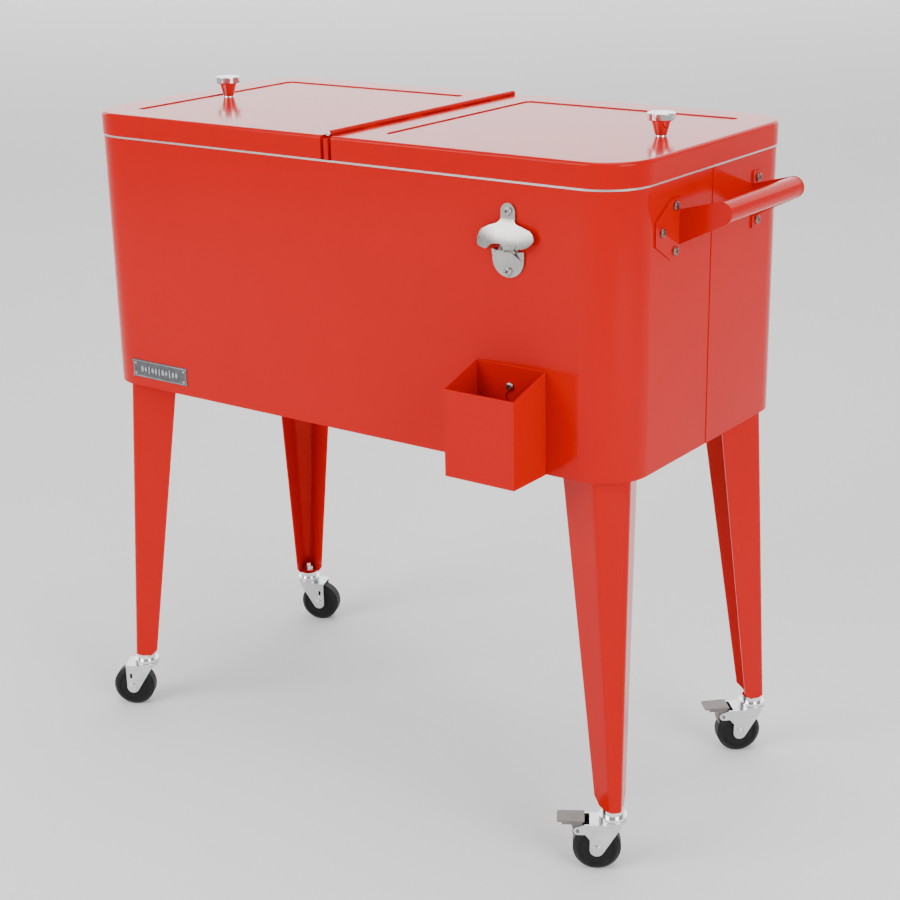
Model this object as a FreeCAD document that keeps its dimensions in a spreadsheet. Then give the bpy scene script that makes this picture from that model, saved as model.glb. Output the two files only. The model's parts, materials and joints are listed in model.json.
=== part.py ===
import FreeCAD, Part
import math
import os

# Retro patio cooler cart: an insulated chest with two lids on four caster legs.
# Millimetres. +Z is up, +X points to the handle end, -Y is the front face.
# The origin lies on the floor under the centre of the tub.

SIZES = {
    "tub_length": 809.0, "tub_width": 397.0, "tub_corner": 56.0,
    "tub_low": 489.6, "tub_high": 818.8, "skin": 1.2,
    "lip": 4.5, "lip_rise": 1.5, "seam_width": 9.0, "seam_proud": 0.8,
    "pan_gap": 0.3, "pan_low": 494.0, "pan_floor": 1.5, "pan_high": 512.0,
    "liner_length": 755.0, "liner_width": 343.0, "liner_corner": 30.0,
    "liner_floor": 524.0, "liner_wall": 1.5,
    "trim_high": 821.0, "trim_step": 1.5, "trim_inset": 0.3,
    "rail_base": 50.0, "rail_web": 6.4, "rail_top": 846.5,
    "pin_height": 851.0, "pin_radius": 2.2, "pin_fit": 0.05, "pin_head": 3.2, "pin_head_length": 3.0,
    "hinge_span": 384.0, "knuckle_radius": 3.8, "knuckle_count": 13.0, "knuckle_gap": 0.5,
    "leaf": 1.2, "leaf_low": 829.0, "link_low": 848.2, "link_high": 849.4,
    "lid_inner": 8.0, "lid_outer": 406.0, "lid_width": 399.2, "lid_corner": 57.7,
    "lid_low": 821.4, "lid_high": 849.5, "lid_roll": 4.0,
    "recess_inner": 50.0, "recess_outer": 356.0, "recess_width": 306.0,
    "recess_depth": 1.3, "recess_corner": 8.0,
    "lid_liner_low": 823.2, "lid_liner_high": 824.6, "lid_foam_high": 845.4,
    "gasket_low": 821.3, "gasket_inner": 12.0, "gasket_outer": 398.0,
    "gasket_width": 384.0, "gasket_band": 10.0, "gasket_corner": 50.0,
    "knob_reach": 334.0, "knob_foot": 7.0, "knob_neck": 6.8, "knob_flare": 11.6, "knob_radius": 16.5,
    "knob_neck_rise": 1.0, "knob_flare_rise": 17.8, "knob_disc_rise": 18.4, "knob_height": 26.8,
    "knob_round": 1.0,
    "screw_shank": 2.0, "screw_hole": 2.1, "screw_head": 5.4, "screw_head_height": 3.2, "screw_length": 11.0,
    "leg_wall": 2.0, "leg_top": 494.0, "leg_low": 78.0, "leg_plate": 3.0,
    "leg_top_inset_x": 26.0, "leg_top_inset_y": 24.0, "leg_top_web": 43.0,
    "leg_top_spread": 23.4, "leg_top_depth": 58.8,
    "leg_low_inset_x": 6.0, "leg_low_inset_y": 8.4, "leg_low_web": 12.5,
    "leg_low_spread": 12.4, "leg_low_depth": 28.5, "leg_clip_rise": 13.0, "leg_clip_run": 12.0,
    "leg_bolt_radius": 3.0, "leg_bolt_head": 5.5, "leg_bolt_head_height": 4.0,
    "leg_bolt_length": 10.0, "leg_bolt_near": 16.0, "leg_bolt_far": 42.0, "leg_bolt_side": 19.0,
    "handle_middle": 6.5, "handle_half": 89.5, "handle_wall": 2.0, "handle_height": 765.0,
    "flange_reach": 52.0, "flange_half": 34.0, "flange_cut_out": 34.0, "flange_cut_up": 20.5,
    "arm_low": 744.5, "arm_high": 784.0, "bar_reach": 53.0, "bar_height": 785.0,
    "bar_radius": 12.5, "bar_wall": 2.0, "handle_screw_near": 9.5, "handle_screw_far": 38.0,
    "handle_screw_rise": 25.3,
    "opener_x": 257.5, "opener_height": 754.6, "opener_plate": 2.5, "opener_tab": 9.5,
    "opener_top": 42.0, "opener_lobe": 21.0, "opener_lobe_drop": 20.5, "opener_hood": 37.0,
    "opener_hood_wall": 2.0, "opener_hood_top": 25.0, "opener_hood_run": 34.0, "opener_hood_tilt": 21.0,
    "opener_screw_up": 33.2, "opener_screw_down": 34.5,
    "plate_x": -300.5, "plate_height": 514.5, "plate_length": 100.0, "plate_width": 24.0,
    "plate_thick": 1.0, "plate_bite": 34.0, "plate_bite_depth": 1.8, "rivet_x": 43.5, "rivet_z": 7.0,
    "rivet_shank": 1.0, "rivet_head": 1.9, "rivet_head_height": 1.0, "rivet_length": 2.4,
    "catcher_left": 211.6, "catcher_length": 94.5, "catcher_depth": 65.0,
    "catcher_low": 489.2, "catcher_back": 612.0, "catcher_front": 592.4, "catcher_wall": 1.2,
    "catcher_gap": 0.4, "catcher_screw_x": 258.5, "catcher_screw_height": 587.0,
    "keyhole_slot": 3.0, "keyhole_round": 6.5, "keyhole_drop": 13.0, "catcher_head": 5.2,
    "catcher_head_height": 3.4,
    "drain_height": 539.5, "drain_bore": 5.5, "drain_tube": 8.0, "drain_nozzle": 10.0,
    "drain_flange": 14.0, "drain_gasket": 1.5, "drain_flange_wall": 3.0, "drain_nozzle_length": 14.0,
    "drain_inside": 6.0, "drain_nut": 12.3, "drain_nut_wall": 4.0, "drain_cap": 13.0,
    "drain_cap_wall": 3.0, "drain_fit": 0.05, "drain_clear": 0.2,
    "stem_inset": 14.0, "stem_radius": 5.0, "stem_top": 92.0, "stem_nut": 8.0, "stem_nut_height": 6.0,
    "race_radius": 17.0, "race_low": 66.8, "race_high": 70.2, "stem_collar": 13.0,
    "kingpin": 4.0, "kingpin_head": 6.0, "kingpin_head_low": 57.0,
    "fork_low": 60.0, "fork_high": 62.4, "fork_race": 17.0, "fork_race_high": 66.4,
    "fork_wall": 2.0, "fork_inner": 13.5, "fork_nose": 10.0, "fork_back": 28.0, "trail": 19.0,
    "axle_boss": 8.5, "arm_end": 5.2, "slot_reach": 21.0, "slot_height": 43.0,
    "slot_wide": 3.2, "slot_tall": 7.0,
    "wheel_radius": 29.0, "wheel_width": 24.0, "tread_round": 4.5, "hub_outer": 21.0,
    "hub_inner": 9.0, "hub_recess": 1.2, "axle_radius": 4.0, "axle_head": 6.0, "axle_head_height": 2.0,
    "lever_reach": 42.0, "lever_height": 54.5, "lever_pin": 2.0, "lever_wall": 1.5, "lever_half": 12.8,
    "pedal_inner": 34.0, "pedal_outer": 67.0, "pedal_low": 64.7, "pedal_high": 66.5,
    "pedal_skirt": 3.0, "pedal_half": 12.8, "pedal_corner": 4.0,
    "tongue_half": 8.0,
}

CASTERS = {
    "front_right": (1, -1, 212.0, True),
    "rear_right": (1, 1, 223.0, True),
    "front_left": (-1, -1, 211.0, False),
    "rear_left": (-1, 1, 22.5, False),
}

UP = FreeCAD.Vector(0, 0, 1)
TO_FRONT = FreeCAD.Vector(0, -1, 0)
TO_BACK = FreeCAD.Vector(0, 1, 0)
TO_RIGHT = FreeCAD.Vector(1, 0, 0)
TO_LEFT = FreeCAD.Vector(-1, 0, 0)

doc = FreeCAD.newDocument("CoolerCart")
sheet = doc.addObject("Spreadsheet::Sheet", "Sizes")
for row, (alias, value) in enumerate(SIZES.items(), start=1):
    sheet.set(f"A{row}", str(value))
    sheet.setAlias(f"A{row}", alias)
doc.recompute()

nodes = []


def size(alias):
    return float(sheet.get(alias))


def linked(text):
    """Expression text in which @name stands for the sheet's cell of that alias."""
    return text.replace("@", "Sizes.")


def bind(piece, **expressions):
    for prop, text in expressions.items():
        piece.setExpression(prop.replace("__", "."), linked(text))


def node(piece, label):
    """Marks a finished sub-part and gives it the label that names its file."""
    piece.Label = label
    nodes.append(piece)
    return piece


def place(piece, x=0.0, y=0.0, z=0.0, turn=0.0):
    piece.Placement = FreeCAD.Placement(FreeCAD.Vector(x, y, z), FreeCAD.Rotation(UP, turn))
    return piece


def cut(name, base, *tools):
    """Base with the tools taken away."""
    tool = tools[0] if len(tools) == 1 else fuse(name + "_tools", *tools)
    piece = doc.addObject("Part::Cut", name)
    piece.Base = base
    piece.Tool = tool
    return piece


def fuse(name, *shapes):
    piece = doc.addObject("Part::MultiFuse", name)
    piece.Shapes = list(shapes)
    return piece


def common(name, base, tool):
    piece = doc.addObject("Part::Common", name)
    piece.Base = base
    piece.Tool = tool
    return piece


def group(name, shapes):
    """Separate solids kept together as one node."""
    piece = doc.addObject("Part::Compound", name)
    piece.Links = list(shapes)
    return piece


def box(name, length, width, height, x, y, z):
    """Box whose lowest corner is at x, y, z; every argument is a sheet expression."""
    piece = doc.addObject("Part::Box", name)
    bind(piece, Length=length, Width=width, Height=height)
    bind(piece, Placement__Base__x=x, Placement__Base__y=y, Placement__Base__z=z)
    return piece


def rod(name, radius, length, start, axis):
    """Cylinder from the point start along axis; radius and length are sheet expressions."""
    piece = doc.addObject("Part::Cylinder", name)
    bind(piece, Radius=radius, Height=length)
    piece.Placement = FreeCAD.Placement(FreeCAD.Vector(*start), FreeCAD.Rotation(UP, axis))
    return piece


def rounded(name, base, radius, test):
    """Fillet on every edge of base whose middle and direction pass the test."""
    doc.recompute()
    chosen = []
    for number, edge in enumerate(base.Shape.Edges, start=1):
        middle = edge.valueAt((edge.FirstParameter + edge.LastParameter) / 2)
        if test(middle, edge):
            chosen.append((number, radius, radius))
    piece = doc.addObject("Part::Fillet", name)
    piece.Base = base
    piece.Edges = chosen
    return piece


def upright(middle, edge):
    """Whether an edge is a straight vertical one."""
    ends = [vertex.Point for vertex in edge.Vertexes]
    return len(ends) == 2 and (ends[0] - ends[1]).cross(UP).Length < 1e-6


def slab(name, length, width, corner, low, high):
    """Rounded rectangular block centred on the Z axis, between two heights."""
    block = box(name + "_block", length, width, f"({high}) - ({low})",
                f"-({length}) / 2", f"-({width}) / 2", low)
    return rounded(name, block, corner, upright)


def body(name):
    return doc.addObject("PartDesign::Body", name)


def outline(owner, role, curves, offset=0.0):
    """Sketch of the given closed curves on one of the body's origin planes."""
    sketch = owner.newObject("Sketcher::SketchObject", owner.Name + "_outline")
    plane = [item for item in owner.Origin.OriginFeatures if item.Role == role][0]
    sketch.AttachmentSupport = (plane, "")
    sketch.MapMode = "FlatFace"
    sketch.AttachmentOffset = FreeCAD.Placement(FreeCAD.Vector(0, 0, offset), FreeCAD.Rotation())
    sketch.addGeometry(curves, False)
    return sketch


def closed(points):
    """Straight edges round a list of sketch points."""
    corners = [FreeCAD.Vector(x, y, 0) for x, y in points]
    return [Part.LineSegment(a, b) for a, b in zip(corners, corners[1:] + corners[:1])]


def pad(owner, role, curves, thickness, offset=0.0):
    """Plate of the sketched outline, of a thickness read from the sheet."""
    feature = owner.newObject("PartDesign::Pad", owner.Name + "_pad")
    feature.Profile = outline(owner, role, curves, offset)
    bind(feature, Length=thickness)
    return feature


def revolve(owner, curves):
    """Turned piece: curves in the XZ plane, swept round the Z axis."""
    feature = owner.newObject("PartDesign::Revolution", owner.Name + "_turn")
    sketch = outline(owner, "XZ_Plane", curves)
    feature.Profile = sketch
    feature.ReferenceAxis = (sketch, ["V_Axis"])
    feature.Angle = 360
    return feature


# ---------------------------------------------------------------- where the fasteners are

FRONT = -size("tub_width") / 2
RIGHT_END = size("tub_length") / 2
LEFT_END = -RIGHT_END

opener_screw_spots = [
    (size("opener_x"), FRONT, size("opener_height") + size("opener_screw_up")),
    (size("opener_x"), FRONT, size("opener_height") - size("opener_screw_down")),
]
catcher_screw_spots = [(size("catcher_screw_x"), FRONT, size("catcher_screw_height"))]
rivet_spots = []
for along in (-1, 1):
    for rise in (-1, 1):
        spot = (size("plate_x") + along * size("rivet_x"), FRONT, size("plate_height") + rise * size("rivet_z"))
        rivet_spots.append(spot)
handle_screw_spots = []
for side in (-1, 1):
    near = size("handle_middle") + side * (size("handle_half") + size("handle_screw_near"))
    far = size("handle_middle") + side * (size("handle_half") + size("handle_screw_far"))
    for y, rise in ((near, 1), (near, -1), (far, 0)):
        handle_screw_spots.append((RIGHT_END, y, size("handle_height") + rise * size("handle_screw_rise")))
drain_spot = (LEFT_END, 0.0, size("drain_height"))


def drilled(name, spots, radius, depth, inward):
    """Round tools that start 2 mm outside a face at each spot and run inward."""
    tools = []
    for number, spot in enumerate(spots, start=1):
        start = FreeCAD.Vector(*spot) - inward * 2
        tools.append(rod(f"{name}_{number}", radius, f"({depth}) + 2", start, inward))
    return tools


def wall_holes(name, screw_radius, rivet_radius, drain_radius, depth):
    """Every hole that passes through the chest's side walls."""
    tools = drilled(name + "_opener", opener_screw_spots, screw_radius, depth, TO_BACK)
    tools += drilled(name + "_catcher", catcher_screw_spots, screw_radius, depth, TO_BACK)
    tools += drilled(name + "_rivet", rivet_spots, rivet_radius, depth, TO_BACK)
    tools += drilled(name + "_handle", handle_screw_spots, screw_radius, depth, TO_LEFT)
    tools += drilled(name + "_drain", [drain_spot], drain_radius, "40", TO_RIGHT)
    return tools


def leg_frame(across, along, end):
    """Middle of a leg's web and its outward and sideways directions, at the top or the low end."""
    x = across * (size("tub_length") / 2 - size(f"leg_{end}_inset_x"))
    y = along * (size("tub_width") / 2 - size(f"leg_{end}_inset_y"))
    outward = FreeCAD.Vector(across, along, 0).normalize()
    sideways = FreeCAD.Vector(-along, across, 0).normalize()
    return FreeCAD.Vector(x, y, 0), outward, sideways


leg_bolt_spots = []
for across, along, heading, braked in CASTERS.values():
    middle, outward, sideways = leg_frame(across, along, "top")
    near = middle - outward * size("leg_bolt_near")
    far = middle - outward * size("leg_bolt_far")
    leg_bolt_spots.append(near)
    leg_bolt_spots.append(far + sideways * size("leg_bolt_side"))
    leg_bolt_spots.append(far - sideways * size("leg_bolt_side"))


# ---------------------------------------------------------------- chest

def outer_shell():
    radius = size("tub_corner")
    outside = slab("shell_outside", "@tub_length", "@tub_width", radius, "@tub_low", "@tub_high")
    hollow = slab("shell_hollow", "@tub_length - 2 * @skin", "@tub_width - 2 * @skin",
                  radius - size("skin"), "@tub_low + @lip_rise", "@tub_high + 1")
    mouth = slab("shell_mouth", "@tub_length - 2 * @lip", "@tub_width - 2 * @lip",
                 radius - size("lip"), "@tub_low - 1", "@tub_low + @lip_rise + 1")
    walls = cut("shell_walls", outside, hollow, mouth)
    seam = box("shell_seam", "@seam_proud + @skin / 2", "@seam_width", "@tub_high - @tub_low - 2 * @lip_rise",
               "@tub_length / 2 - @skin / 2", "-@seam_width / 2", "@tub_low + @lip_rise")
    skin = fuse("shell_skin", walls, seam)
    holes = wall_holes("shell_hole", "@screw_hole", "@rivet_shank + 0.05", "@drain_tube + @drain_clear", "4")
    node(cut("outer_shell", skin, *holes), "outer_shell")


def bottom_pan():
    inset = size("skin") + size("pan_gap")
    radius = size("tub_corner") - inset
    outside = slab("pan_outside", "@tub_length - 2 * (@skin + @pan_gap)", "@tub_width - 2 * (@skin + @pan_gap)",
                   radius, "@pan_low", "@pan_high")
    hollow = slab("pan_hollow", "@tub_length - 2 * (2 * @skin + @pan_gap)",
                  "@tub_width - 2 * (2 * @skin + @pan_gap)", radius - size("skin"), "@pan_low + @pan_floor", "@pan_high + 1")
    holes = []
    for number, spot in enumerate(leg_bolt_spots, start=1):
        start = (spot.x, spot.y, size("pan_low") - 1)
        holes.append(rod(f"pan_hole_{number}", "@leg_bolt_radius + 0.1", "@pan_floor + 2", start, UP))
    node(cut("bottom_pan", outside, hollow, *holes), "bottom_pan")


def inner_liner():
    wall = size("liner_wall")
    radius = size("liner_corner")
    inset = size("skin") + size("pan_gap")
    tub = slab("liner_tub", "@liner_length + 2 * @liner_wall", "@liner_width + 2 * @liner_wall",
               radius + wall, "@liner_floor - @liner_wall", "@tub_high")
    brim = slab("liner_brim", "@tub_length - 2 * (@skin + @pan_gap)", "@tub_width - 2 * (@skin + @pan_gap)",
                size("tub_corner") - inset, "@tub_high - @liner_wall", "@tub_high")
    hollow = slab("liner_hollow", "@liner_length", "@liner_width", radius, "@liner_floor", "@tub_high + 1")
    drain = drilled("liner_drain", [drain_spot], "@drain_tube + @drain_clear", "40", TO_RIGHT)
    node(cut("inner_liner", fuse("liner_sheet", tub, brim), hollow, *drain), "inner_liner")


def foam_insulation():
    gap = 2 * size("skin") + size("pan_gap") + 0.2
    outside = slab("foam_outside", "@tub_length - 4 * @skin - 2 * @pan_gap - 0.4",
                   "@tub_width - 4 * @skin - 2 * @pan_gap - 0.4", size("tub_corner") - gap,
                   "@pan_low + @pan_floor + 0.2", "@tub_high - @liner_wall - 0.2")
    hollow = slab("foam_hollow", "@liner_length + 2 * @liner_wall + 0.4", "@liner_width + 2 * @liner_wall + 0.4",
                  size("liner_corner") + size("liner_wall") + 0.2,
                  "@liner_floor - @liner_wall - 0.2", "@tub_high")
    holes = wall_holes("foam_hole", "@screw_hole + 0.2", "@rivet_shank + 0.4", "@drain_tube + 0.4", "16")
    for number, spot in enumerate(leg_bolt_spots, start=1):
        start = (spot.x, spot.y, size("pan_low"))
        holes.append(rod(f"foam_bolt_{number}", "@leg_bolt_radius + 0.4", "@leg_bolt_length + 1", start, UP))
    node(cut("foam_insulation", outside, hollow, *holes), "foam_insulation")


def rim_trim():
    inset = size("trim_inset")
    outside = slab("trim_outside", "@tub_length - 2 * @trim_inset", "@tub_width - 2 * @trim_inset",
                   size("tub_corner") - inset, "@tub_high", "@trim_high")
    opening = slab("trim_opening", "@liner_length + 2 * @trim_step", "@liner_width + 2 * @trim_step",
                   size("liner_corner") + size("trim_step"), "@tub_high - 1", "@trim_high + 1")
    node(cut("rim_trim", outside, opening), "rim_trim")


# ---------------------------------------------------------------- hinge

KNUCKLE_PITCH = size("hinge_span") / size("knuckle_count")


def knuckles(name, remainder):
    """Every third barrel of the hinge, counted from the front."""
    barrels = []
    for index in range(remainder, int(size("knuckle_count")), 3):
        start = -size("hinge_span") / 2 + index * KNUCKLE_PITCH + size("knuckle_gap") / 2
        barrels.append(rod(f"{name}_{index}", "@knuckle_radius", f"{KNUCKLE_PITCH} - @knuckle_gap",
                           (0, start, size("pin_height")), TO_BACK))
    return barrels


def pin_bore(name):
    start = (0, -size("hinge_span") / 2 - 1, size("pin_height"))
    return rod(name, "@pin_radius + @pin_fit", "@hinge_span + 2", start, TO_BACK)


def center_rail():
    base = box("rail_base_plate", "@rail_base", "@liner_width + 2 * @trim_step", "@trim_high - @tub_high",
               "-@rail_base / 2", "-@liner_width / 2 - @trim_step", "@tub_high")
    web = box("rail_web_bar", "@rail_web", "@lid_width", "@rail_top - @trim_high",
              "-@rail_web / 2", "-@lid_width / 2", "@trim_high")
    pieces = [base, web] + knuckles("rail_knuckle", 0)
    for index in range(0, int(size("knuckle_count")), 3):
        start = -size("hinge_span") / 2 + index * KNUCKLE_PITCH + size("knuckle_gap") / 2
        pieces.append(box(f"rail_neck_{index}", "@rail_web / 2", f"{KNUCKLE_PITCH} - @knuckle_gap",
                          "@pin_height - @rail_top", "-@rail_web / 4", f"{start}", "@rail_top"))
    node(cut("center_rail", fuse("rail_blank", *pieces), pin_bore("rail_bore")), "center_rail")


def hinge_pin():
    start = -size("hinge_span") / 2 - size("knuckle_gap")
    shaft = rod("pin_shaft", "@pin_radius", "@hinge_span + 3", (0, start, size("pin_height")), TO_BACK)
    head = rod("pin_head_disc", "@pin_head", "@pin_head_length",
               (0, start - size("pin_head_length"), size("pin_height")), TO_BACK)
    dome = rounded("pin_head_dome", head, size("pin_head_length") * 0.6,
                   lambda middle, edge: middle.y < start - size("pin_head_length") / 2 and len(edge.Vertexes) == 1)
    node(fuse("hinge_pin", shaft, dome), "hinge_pin")


# ---------------------------------------------------------------- lids (the left one is turned half round)

def lid_block(name, inset, low, high, roll):
    """Lid outline from the hinge side to the round end, pulled in by inset on every side."""
    block = box(name + "_block", f"@lid_outer - @lid_inner - 2 * {inset}", f"@lid_width - 2 * {inset}",
                f"({high}) - ({low})", f"@lid_inner + {inset}", f"-@lid_width / 2 + {inset}", low)
    far = rounded(name + "_ends", block, size("lid_corner") - inset,
                  lambda middle, edge: upright(middle, edge) and middle.x > size("lid_corner"))
    if not roll:
        return far
    doc.recompute()
    top = far.Shape.BoundBox.ZMax
    return rounded(name, far, roll,
                   lambda middle, edge: abs(middle.z - top) < 1e-3 and middle.x > size("lid_inner") + inset + 1)


def recess(name, grow, low, high):
    """Shallow panel in the lid's top, enlarged by grow on every side."""
    block = box(name + "_block", f"@recess_outer - @recess_inner + 2 * {grow}", f"@recess_width + 2 * {grow}",
                f"({high}) - ({low})", f"@recess_inner - {grow}", f"-@recess_width / 2 - {grow}", low)
    return rounded(name, block, size("recess_corner") + grow, upright)


def lid_skin(side):
    outside = lid_block(f"{side}_skin_outside", 0, "@lid_low", "@lid_high", size("lid_roll"))
    dish = recess(f"{side}_dish", 0, "@lid_high - @recess_depth", "@lid_high + 1")
    inside = lid_block(f"{side}_skin_inside", size("skin"), "@lid_low - 1", "@lid_high - @skin",
                       size("lid_roll") - size("skin"))
    lump = recess(f"{side}_lump", size("skin"), "@lid_high - @recess_depth - @skin", "@lid_high")
    hollow = cut(f"{side}_skin_hollow", inside, lump)
    hole = rod(f"{side}_skin_hole", "@screw_hole", "20", (size("knob_reach"), 0, size("lid_foam_high") - 5), UP)
    return cut(f"{side}_lid_skin", outside, dish, hollow, hole)


def lid_foam(side):
    block = lid_block(f"{side}_foam_block", size("skin") + 2.0, "@lid_liner_high + 0.1", "@lid_foam_high", 0)
    pocket = rod(f"{side}_foam_pocket", "@screw_head + 0.5", "8",
                 (size("knob_reach"), 0, size("lid_foam_high") - 4), UP)
    return cut(f"{side}_lid_foam", block, pocket)


def lid_liner(side):
    return lid_block(f"{side}_lid_liner", size("skin") + 0.3, "@lid_liner_low", "@lid_liner_high", 0)


def lid_gasket(side):
    def ring(name, inset, low, high):
        block = box(name + "_block", f"@gasket_outer - @gasket_inner - 2 * {inset}", f"@gasket_width - 2 * {inset}",
                    f"({high}) - ({low})", f"@gasket_inner + {inset}", f"-@gasket_width / 2 + {inset}", low)
        return rounded(name, block, size("gasket_corner") - inset,
                       lambda middle, edge: upright(middle, edge) and middle.x > size("gasket_corner"))
    outer = ring(f"{side}_gasket_outer", 0, "@gasket_low", "@lid_liner_low")
    inner = ring(f"{side}_gasket_inner", size("gasket_band"), "@gasket_low - 1", "@lid_liner_low + 1")
    return cut(f"{side}_lid_gasket", outer, inner)


def hinge_leaf(side):
    plate = box(f"{side}_leaf_plate", "@leaf", "@hinge_span", "@link_high - @leaf_low",
                "@lid_inner - @leaf", "-@hinge_span / 2", "@leaf_low")
    pieces = [plate] + knuckles(f"{side}_leaf_knuckle", 2)
    for index in range(2, int(size("knuckle_count")), 3):
        start = -size("hinge_span") / 2 + index * KNUCKLE_PITCH + size("knuckle_gap") / 2
        pieces.append(box(f"{side}_leaf_link_{index}", "@lid_inner - @pin_radius - 0.3",
                          f"{KNUCKLE_PITCH} - @knuckle_gap", "@link_high - @link_low",
                          "@pin_radius + 0.3", f"{start}", "@link_low"))
    return cut(f"{side}_hinge_leaf", fuse(f"{side}_leaf_blank", *pieces), pin_bore(f"{side}_leaf_bore"))


def knob(side):
    """Chrome knob: a round disc on a cone that narrows to a small foot."""
    owner = body(f"{side}_knob_body")
    rise = size("knob_height")
    soft = size("knob_round")
    radius = size("knob_radius")
    bevel = soft * (1 - math.sqrt(0.5))
    bore = size("screw_hole")
    points = [(bore, 0), (size("knob_foot"), 0), (size("knob_neck"), size("knob_neck_rise")),
              (size("knob_flare"), size("knob_flare_rise")), (radius - 1, size("knob_disc_rise")),
              (radius, size("knob_disc_rise") + 1), (radius, rise - soft)]
    corners = [FreeCAD.Vector(x, z, 0) for x, z in points]
    curves = [Part.LineSegment(a, b) for a, b in zip(corners, corners[1:])]
    shoulder = FreeCAD.Vector(radius - soft, rise, 0)
    crown = FreeCAD.Vector(0, rise, 0)
    core = FreeCAD.Vector(0, size("screw_length"), 0)
    curves.append(Part.Arc(corners[-1], FreeCAD.Vector(radius - bevel, rise - bevel, 0), shoulder))
    curves.append(Part.LineSegment(shoulder, crown))
    curves.append(Part.LineSegment(crown, core))
    curves.append(Part.LineSegment(core, FreeCAD.Vector(bore, size("screw_length"), 0)))
    curves.append(Part.LineSegment(FreeCAD.Vector(bore, size("screw_length"), 0), corners[0]))
    revolve(owner, curves)
    return owner


def knob_screw(side):
    floor = size("lid_high") - size("recess_depth") - size("skin")
    head = rod(f"{side}_knob_screw_head", "@screw_head", "@screw_head_height",
               (size("knob_reach"), 0, floor - size("screw_head_height")), UP)
    shank = rod(f"{side}_knob_screw_shank", "@screw_shank", "@screw_length",
                (size("knob_reach"), 0, floor), UP)
    return fuse(f"{side}_knob_screw", head, shank)


def lids():
    for side, turn in (("right", 0.0), ("left", 180.0)):
        for make in (lid_skin, lid_foam, lid_liner, lid_gasket, hinge_leaf, knob_screw):
            name = make.__name__
            label = f"{name}_{side}"
            node(place(make(side), turn=turn), label)
        seat = size("lid_high") - size("recess_depth")
        across = 1 if side == "right" else -1
        node(place(knob(side), x=across * size("knob_reach"), z=seat), f"lid_knob_{side}")


# ---------------------------------------------------------------- legs

def leg_section(across, along, end, wall, reach, height):
    """Four corners of the channel's section: two web bends and two free edges."""
    middle, outward, sideways = leg_frame(across, along, end)
    half_web = size(f"leg_{end}_web") / 2 - wall * math.tan(math.radians(35))
    half_mouth = half_web + size(f"leg_{end}_spread")
    depth = size(f"leg_{end}_depth") + reach
    slope = size(f"leg_{end}_spread") / size(f"leg_{end}_depth")
    half_mouth = half_web + slope * (depth - wall)
    middle = middle - outward * wall
    corners = [middle + sideways * half_web, middle - sideways * half_web,
               middle - sideways * half_mouth - outward * (depth - wall),
               middle + sideways * half_mouth - outward * (depth - wall)]
    return Part.makePolygon([FreeCAD.Vector(p.x, p.y, height) for p in corners + corners[:1]])


def leg_wire(name, wire):
    feature = doc.addObject("Part::Feature", name)
    feature.Shape = wire
    return feature


def leg_loft(name, across, along, wall, reach, low, high):
    """Tapered block between a low and a high section, straight from one to the other."""
    whole = size("leg_top") - size("leg_low")

    def between(height):
        part = (height - size("leg_low")) / whole
        low_wire = leg_section(across, along, "low", wall, reach, height)
        top_wire = leg_section(across, along, "top", wall, reach, height)
        pairs = zip(low_wire.OrderedVertexes, top_wire.OrderedVertexes)
        points = [a.Point * (1 - part) + b.Point * part for a, b in pairs]
        return Part.makePolygon(points + points[:1])

    loft = doc.addObject("Part::Loft", name)
    loft.Sections = [leg_wire(name + "_low", between(low)), leg_wire(name + "_high", between(high))]
    loft.Solid = True
    loft.Ruled = True
    return loft


def leg_bend_test(across, along):
    """Picks the two long outer bends of a leg, which lie nearest the chest's corner."""
    def test(middle, edge):
        ends = [vertex.Point for vertex in edge.Vertexes]
        if abs(ends[0].z - ends[-1].z) < size("leg_low"):
            return False
        centre, outward, sideways = leg_frame(across, along, "top")
        foot, outward, sideways = leg_frame(across, along, "low")
        behind = ((centre + foot) / 2 - FreeCAD.Vector(middle.x, middle.y, 0)).dot(outward)
        return behind < size("leg_low_depth") / 2
    return test


def leg(corner, across, along):
    low = size("leg_low")
    top = size("leg_top")
    plate = size("leg_plate")
    outside = leg_loft(f"{corner}_leg_outside", across, along, 0.0, 0.0, low, top)
    folded = rounded(f"{corner}_leg_folded", outside, 6.0, leg_bend_test(across, along))
    inside = leg_loft(f"{corner}_leg_inside", across, along, size("leg_wall"), 6.0, low + plate, top - plate)
    hollow = rounded(f"{corner}_leg_hollow", inside, 4.5, leg_bend_test(across, along))
    middle, outward, sideways = leg_frame(across, along, "low")
    stem = middle - outward * size("stem_inset")
    holes = [rod(f"{corner}_stem_hole", "@stem_radius + 0.1", "@leg_plate + 2", (stem.x, stem.y, low - 1), UP)]
    for number, spot in enumerate(leg_bolt_spots, start=1):
        if spot.x * across > 0 and spot.y * along > 0:
            start = (spot.x, spot.y, top - plate - 1)
            holes.append(rod(f"{corner}_bolt_hole_{number}", "@leg_bolt_radius + 0.1", "@leg_plate + 2",
                             start, UP))
    clip = body(f"{corner}_leg_clip")
    rear = -size("leg_low_depth") - size("leg_wall")
    wedge = closed([(rear, low - 2), (rear + size("leg_clip_run"), low - 2),
                    (rear - 2, low + size("leg_clip_rise")), (rear - 6, low + size("leg_clip_rise")),
                    (rear - 6, low - 2)])
    pad(clip, "XZ_Plane", wedge, "@leg_low_depth * 3", -1.5 * size("leg_low_depth"))
    place(clip, middle.x, middle.y, 0, math.degrees(math.atan2(outward.y, outward.x)))
    node(cut(f"leg_{corner}", folded, hollow, clip, *holes), f"leg_{corner}")


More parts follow.
